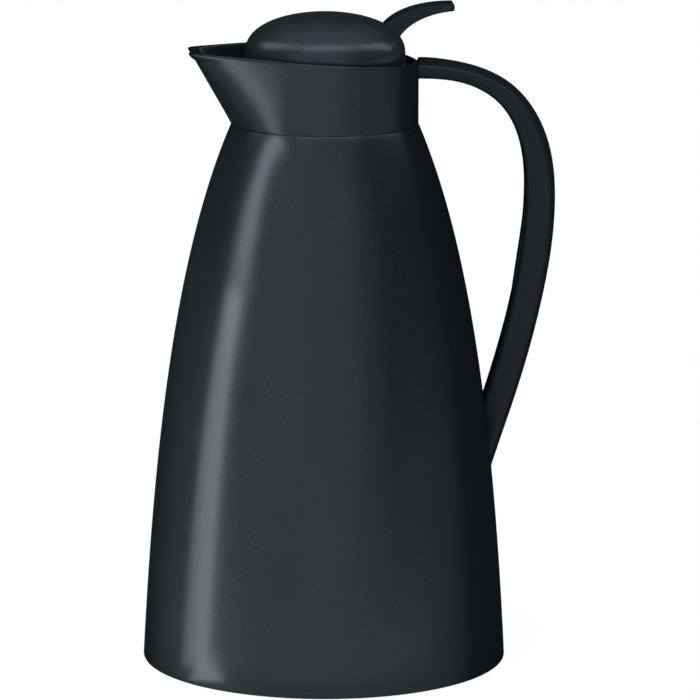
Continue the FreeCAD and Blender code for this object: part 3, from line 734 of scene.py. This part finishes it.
LEVER_HALF = 7.0
LEVER_EASE = 0.6
LEVER_NOSE = 0.7
TIP_X = 50.8
TIP_TOP = 264.3
TIP_LOW = 261.5
BROW = (22.0, 254.3)
HEEL = (28.5, 250.1)


def lever_section(upper, lower, half, ease):
    """A rounded cross-section between an upper and a lower point of the side view."""
    up = np.array((upper[0], 0.0, upper[1]))
    low = np.array((lower[0], 0.0, lower[1]))
    side = np.array((0.0, half, 0.0))
    height = np.linalg.norm(up - low)
    corners = [up - side, up + side, low + side, low - side]
    ring = []
    for i, corner in enumerate(corners):
        back = corners[i - 1] - corner
        ahead = corners[(i + 1) % 4] - corner
        reach = min(ease, 0.48 * height)
        start = corner + back / np.linalg.norm(back) * reach
        end = corner + ahead / np.linalg.norm(ahead) * reach
        ring += list(bezier([start, corner, end], 6))
        if i in (0, 2):
            following = corners[(i + 1) % 4]
            ring += [end + (following - corner) / np.linalg.norm(following - corner) * d
                     for d in np.linspace(0, 2 * half - 2 * reach, 9)[1:-1]]
    return ring


def lever():
    upper = bezier([BROW, (BROW[0] + 5.0, BROW[1] + 6.4), (TIP_X - 14.5, TIP_TOP), (TIP_X, TIP_TOP)], 60)
    lower = bezier([HEEL, (HEEL[0] + 3.0, HEEL[1] + 6.2), (TIP_X - 10.5, TIP_LOW - 0.7),
                    (TIP_X, TIP_LOW)], 60)
    stem = [(up, low) for up, low in zip(upper, lower) if up[0] < TIP_X - LEVER_NOSE]
    rings = [lever_section(up, low, LEVER_HALF, LEVER_EASE) for up, low in stem]
    last_top, last_low = stem[-1][0][1], stem[-1][1][1]
    for turn in np.linspace(0.12, pi / 2, 9):
        shrink = LEVER_NOSE * (1 - cos(turn))
        x = TIP_X - LEVER_NOSE + LEVER_NOSE * sin(turn)
        rings.append(lever_section((x, TIP_TOP - shrink + (last_top - TIP_TOP) * cos(turn)),
                                   (x, TIP_LOW + shrink + (last_low - TIP_LOW) * cos(turn)),
                                   LEVER_HALF - shrink, LEVER_EASE))
    mesh = skin("lever", rings, DEEP, crease=50.0)
    piece("lever", mesh, "lid", "casing_plastic", "thumb_lever")


# Stopper under the lid, its ring, and the soft pieces round the liner

COLLAR_RING_RADIUS = 35.27
COLLAR_RING_HEIGHT = 213.0
COLLAR_RING_SECTION = 0.74
STOPPER_RING = [(22.6, 215.2), (24.25, 215.2), (25.4, 216.6), (27.65, 218.6), (22.6, 218.6)]
MOUTH_RING = [(21.5, 208.2), (27.25, 208.2), (27.25, 210.4), (21.5, 210.4)]
BASE_RING = [(62.85, 7.5), (68.4, 7.5), (68.4, 8.7), (62.85, 8.7)]
LINER_FOOT = [(0, 20.6), (34.2, 20.6), (55.2, 33.2), (55.2, 53.8)]
REST_INNER = 16.0
REST_OUTER = 30.0
REST_LOW = 7.5


def stopper():
    profile = eased([(0, 213.2), (20.5, 213.2), (22.5, 215.2), (22.5, 218.6), (27.0, 235.7), (27.0, 237.6),
                     (25.0, 237.6), (25.0, 235.7), (20.5, 218.6), (20.5, 215.2), (0, 215.2)],
                    [0, 1.2, 0.8, 0.5, 0.6, 0.2, 0.2, 0.3, 0.5, 0.8, 0], closed=False)
    turned("stopper", profile, PLAIN, "lid", "casing_plastic", "lid_plug", steps=144)


def soft_rings():
    rounds = np.linspace(0, 2 * pi, 25)
    circle = [(COLLAR_RING_RADIUS + COLLAR_RING_SECTION * cos(a),
               COLLAR_RING_HEIGHT + COLLAR_RING_SECTION * sin(a)) for a in rounds]
    turned("collar_ring", circle, SOFT, "jug", "soft_silicone", "collar_seal", steps=144)
    lip = eased(STOPPER_RING, [0.1, 0.4, 0.5, 0.25, 0.1])
    turned("stopper_ring", lip, SOFT, "lid", "soft_silicone", "plug_seal", steps=144)
    turned("mouth_ring", eased(MOUTH_RING, 0.5), SOFT, "jug", "soft_silicone", "mouth_gasket", steps=144)
    turned("base_ring", eased(BASE_RING, 0.4), SOFT, "base", "soft_silicone", "base_seal", steps=160)
    bowl = bezier(LINER_FOOT, 90)
    cradle = [tuple(p) for p in bowl if REST_INNER + 0.2 < p[0] < REST_OUTER - 0.2]
    rest = [(REST_INNER, REST_LOW), (REST_OUTER, REST_LOW), (REST_OUTER, cradle[-1][1])]
    rest += cradle[::-1] + [(REST_INNER, cradle[0][1])]
    turned("liner_rest", eased(rest, [0.6, 0.6, 0.4] + [0] * len(cradle) + [0.4]),
           SOFT, "base", "soft_silicone", "liner_cushion", steps=128)


# Bottom cover with its grip bar

BAR_REACH = 38.5
BAR_HALF = 3.5
BAR_FACE = 1.5
BAR_EASE = ((3.4, 0.0), (0.8, 0.15), (0.45, 0.25), (0.2, 0.5), (0.05, 0.8), (0.0, 1.15))


def bottom_cover():
    profile = eased([(0, 4.9), (68.4, 4.9), (68.4, 7.5), (62.4, 7.5), (62.4, 14.1), (60.0, 14.1), (60.0, 7.5),
                     (32.55, 7.5), (32.55, 9.5), (30.15, 9.5), (30.15, 7.5), (0, 7.5)],
                    [0, 0.7, 0.4, 0.3, 0.5, 0.5, 0.3, 0.3, 0.4, 0.4, 0.2, 0], closed=False)
    turned("bottom_cover", profile, PLAIN, "base", "casing_plastic", "base_cap", steps=200)
    half_turn = np.linspace(0, pi, 16)
    ends = []
    for middle, start in ((BAR_REACH, -pi / 2), (-BAR_REACH, pi / 2)):
        ends += [(middle + BAR_HALF * cos(start + a), BAR_HALF * sin(start + a)) for a in half_turn]
    rings = []
    for drop, inset in BAR_EASE:
        shrink = 1 - inset / BAR_HALF
        ring = []
        for x, y in ends:
            middle = BAR_REACH if x > 0 else -BAR_REACH
            if abs(x) > BAR_REACH:
                ring.append((middle + (x - middle) * shrink, y * shrink, BAR_FACE + drop))
            else:
                ring.append((x, y * shrink, BAR_FACE + drop))
        rings.append(ring)
    mesh = skin("grip_bar", rings, PLAIN, crease=40.0)
    piece("grip_bar", mesh, "base", "casing_plastic", "base_cap")


# Screws

SCREWS, SCREW_NAMES = screw_tree()
THREAD_PITCH = 1.0
THREAD_DEPTH = 0.28
RECESS_WIDTH = 0.7
RECESS_DEPTH = 1.0
LID_SCREW_CIRCLE = 19.5
LID_SCREW_HEIGHT = 235.6
HANDLE_HEAD = (2.8, 1.7)
TOP_SCREW_PLACE = (34.9, 0, 236.9)
LOW_SCREW_PLACE = (61.48 - HANDLE_HEAD[1], 0, 100.0)


def screws(name, places, turn, head, shank, sink, body, node):
    """Screws of one size. The profile runs from the head's top, at height 0, to the point."""
    head_radius, head_height = head
    radius, length = shank
    if sink:
        top = [(0, 0), (head_radius - 0.5, 0), (head_radius, 0.25), (radius, head_height)]
    else:
        top = [(0, 0), (head_radius * 0.75, 0.0), (head_radius, 0.6), (head_radius, head_height),
               (radius, head_height)]
    rows = [(radius, z) for z in np.linspace(head_height + 0.2, length - 1.2, 90)]
    outline = top + rows + [(radius * 0.55, length - 0.3), (0.0, length)]
    line = line_mesh("screw_profile", [(r, 0, z) for r, z in outline])
    profile = bpy.data.objects.new("screw_profile", line)
    bpy.context.scene.collection.objects.link(profile)
    points = bpy.data.meshes.new(name + "_places")
    points.from_pydata([tuple(c * MM for c in p) for p in places], [], [])
    mesh = from_tree(points, SCREWS, SCREW_NAMES, {
        "Thread Pitch": THREAD_PITCH * MM, "Thread Depth": THREAD_DEPTH * MM,
        "Thread Start": (head_height + 0.8) * MM, "Recess Width": RECESS_WIDTH * MM,
        "Recess Length": head_radius * 1.1 * MM, "Recess Depth": RECESS_DEPTH * MM,
        "Turn": turn, "Finish": STEEL, "Screw": profile})
    bpy.data.objects.remove(profile)
    mesh.name = name
    piece(name, settle(mesh, STEEL, 35.0), body, "steel", node)


def all_screws():
    ring = [(LID_SCREW_CIRCLE * cos(a), LID_SCREW_CIRCLE * sin(a), LID_SCREW_HEIGHT)
            for a in (pi, pi + 2 * pi / 3, pi + 4 * pi / 3)]
    screws("lid_fixings", ring, (0, 0, 0), (2.7, 2.0), (1.4, 13.0), False, "lid", "lid_screws")
    outward = (0, pi / 2, 0)
    screws("handle_fixing_top", [TOP_SCREW_PLACE], outward, HANDLE_HEAD, (1.5, 12.0), True, "jug",
           "handle_screws")
    screws("handle_fixing_low", [LOW_SCREW_PLACE], outward, HANDLE_HEAD, (1.5, 9.7), False, "jug",
           "handle_screws")


casing()
collar()
hinge_ears()
dome()
lever()
stopper()
soft_rings()
bottom_cover()
all_screws()

for node, finish in (("handle", DEEP), ("handle_cover", DEEP), ("lid_base", PLAIN),
                     ("hinge_pin", STEEL), ("liner_outer_flask", GLASS),
                     ("liner_inner_flask", GLASS), ("liner_spacers", FELT), ("lid_insulation", FOAM)):
    NODES[node].data.materials[0] = finish


# Floor, light and camera, in metres

FLOOR_RADIUS = 7.0
FLOOR_DROP = 0.0003


def floor():
    """A wide pale floor that keeps the jug's shadow and shows white."""
    material, net = new_finish("pale_floor")
    where = net.node("ShaderNodeTexCoord", {}, {}, "Object")
    tint = noise(net, where, 3.0, 3.0).blend((0.88, 0.88, 0.88, 1), (0.92, 0.92, 0.92, 1))
    matt = net.node("ShaderNodeBsdfDiffuse", {}, {"Color": tint})
    white = net.node("ShaderNodeEmission", {}, {"Color": (1, 1, 1, 1), "Strength": 1.0})
    path = net.node("ShaderNodeLightPath")
    shown = path.math("MAXIMUM", path.part("Is Glossy Ray")).math("MAXIMUM", path.part("Is Transmission Ray"))
    away = net.node("ShaderNodeVectorMath", {"operation": "LENGTH"}, {0: where}, "Value")
    far = away.steps(0.1, 0.5, 0.9, 1.0)
    top = net.node("ShaderNodeMixShader", {}, {0: shown * far, 1: matt, 2: white})
    clear = net.node("ShaderNodeBsdfTransparent")
    back = net.node("ShaderNodeNewGeometry", {}, {}, "Backfacing")
    close(net, net.node("ShaderNodeMixShader", {}, {0: back, 1: top, 2: clear}))
    mesh = bpy.data.meshes.new("floor")
    shape = bmesh.new()
    bmesh.ops.create_circle(shape, cap_ends=True, segments=96, radius=FLOOR_RADIUS)
    for vert in shape.verts:
        vert.co.z = -FLOOR_DROP
    shape.to_mesh(mesh)
    shape.free()
    mesh.materials.append(material)
    thing = bpy.data.objects.new("floor", mesh)
    bpy.context.scene.collection.objects.link(thing)


# The cool boxes give the black plastic its slight blue cast
WHITE = (1.0, 1.0, 1.0)
COOL = (0.95, 1.02, 1.08)
MID_JUG = (0, 0, 0.13)
LID_TOP = (0, 0, 0.25)


def lamp(name, middle, along, width, height, power, aim=MID_JUG, colour=COOL):
    """A soft box centred at middle, its long side along the given way, facing aim."""
    data = bpy.data.lights.new(name, "AREA")
    data.shape = "RECTANGLE"
    data.size = width
    data.size_y = height
    data.energy = power
    data.color = colour
    out = (Vector(middle) - Vector(aim)).normalized()
    right = Vector(along) - out * out.dot(Vector(along))
    right.normalize()
    up = out.cross(right)
    thing = bpy.data.objects.new(name, data)
    thing.matrix_world = Matrix.Translation(Vector(middle)) @ Matrix((right, up, out)).transposed().to_4x4()
    thing.visible_camera = False
    bpy.context.scene.collection.objects.link(thing)


# The long highlight on the casing comes from one upright strip for its lower part and from a row of
# strips that face down, level with the rim, for its upper part, so that the collar and lid stay clear.
# A card on the floor carries it down to the foot. The collar card gives the band of light on the spout.
STRIP_GLOW = 31.0
CARD_GLOW = 29.5
CARD_SIZE = (0.60, 0.11)
SIDE_WIDTH = 0.32
SIDE_POWER = 5.4
STRIPS = (
    ("side_strip", (-0.0965, -0.0485, 0.0005), (-0.0972, -0.0515, 0.165), 0.036, (0.77, -0.64, 0)),
    ("foot_card", (-0.060, -0.0565, 0.0004), (-0.108, -0.0605, 0.0004), 0.022, (0, 0, 1)),
    ("shelf_a", (-0.058, -0.056, 0.246), (-0.083, -0.053, 0.246), 0.027, (0, 0, -1)),
    ("shelf_b", (-0.083, -0.050, 0.246), (-0.131, -0.059, 0.246), 0.029, (0, 0, -1)),
    ("shelf_c", (-0.131, -0.059, 0.246), (-0.205, -0.073, 0.246), 0.043, (0, 0, -1)),
    ("shelf_d", (-0.205, -0.073, 0.246), (-0.362, -0.104, 0.246), 0.086, (0, 0, -1)),
    ("shelf_e", (-0.362, -0.100, 0.246), (-0.680, -0.146, 0.246), 0.165, (0, 0, -1)))


def lights():
    for name, near, far, width, aim in STRIPS:
        near = Vector(near)
        far = Vector(far)
        middle = (near + far) / 2
        length = (far - near).length
        power = STRIP_GLOW * length * width
        lamp(name, middle, far - near, length, width, power, middle + Vector(aim), WHITE)
    length, width = CARD_SIZE
    lamp("collar_card", (-0.595, -0.284, 0.118), (0.9, 0.43, 0), length, width, CARD_GLOW * length * width,
         (-0.595, -0.284, 1.0), WHITE)
    lamp("low_card", (0.0, -0.50, 0.0004), (1, 0, 0), 0.36, 0.80, 0.60, (0.0, -0.50, 1.0))
    lamp("over_box", (0.0, 0.1, 1.6), (1, 0, 0), 2.0, 1.5, 7.5, LID_TOP)
    lamp("front_box", (-0.30, -1.27, 0.45), (1, -0.2, 0), 2.0, 1.3, 5.6)
    lamp("wide_box", (-0.25, -1.40, 0.44), (1, -0.2, 0), 3.6, 1.55, 11.8)
    lamp("top_bar", (0.0, -0.66, 1.22), (1, 0, 0), 1.4, 0.44, 12.4, LID_TOP, WHITE)
    for name, near, far in (("left_bar", (-0.68, -0.45, 1.14), (-1.00, 0.50, 0.72)),
                            ("right_bar", (0.64, -0.50, 1.14), (1.05, 0.50, 0.60))):
        near = Vector(near)
        far = Vector(far)
        lamp(name, (near + far) / 2, far - near, (far - near).length, SIDE_WIDTH, SIDE_POWER, LID_TOP)
    lamp("back_box", (0.5, 1.7, 0.9), (1, 0.2, 0), 2.4, 1.4, 9.0)
    world = bpy.data.worlds.new("room")
    world.use_nodes = True
    world.node_tree.nodes["Background"].inputs["Color"].default_value = (0.124, 0.137, 0.150, 1)
    world.node_tree.nodes["Background"].inputs["Strength"].default_value = 1.0
    bpy.context.scene.world = world


# The photo's camera: its picture and focal length in pixels, its turns in degrees
PICTURE = 700
FOCAL_PIXELS = 4842.2
SHIFT_PIXELS = 0.4
SENSOR = 36.0
LOOK_DOWN = 11.064
LOOK_ASIDE = -3.0
ROLL = 0.165
CAMERA_PLACE = (-0.0894, -1.8979, 0.4963)


def camera():
    data = bpy.data.cameras.new("camera")
    data.sensor_width = SENSOR
    data.lens = SENSOR * FOCAL_PIXELS / PICTURE
    data.shift_x = SHIFT_PIXELS / PICTURE
    data.clip_start = 0.05
    data.clip_end = 60.0
    thing = bpy.data.objects.new("camera", data)
    turn = Euler((radians(90 - LOOK_DOWN), 0, radians(LOOK_ASIDE))).to_matrix().to_4x4()
    roll = Matrix.Rotation(radians(ROLL), 4, "Z")
    thing.matrix_world = Matrix.Translation(CAMERA_PLACE) @ turn @ roll
    bpy.context.scene.collection.objects.link(thing)
    bpy.context.scene.camera = thing


floor()
lights()
camera()
bpy.context.scene.view_settings.view_transform = "Standard"
bpy.context.view_layer.update()
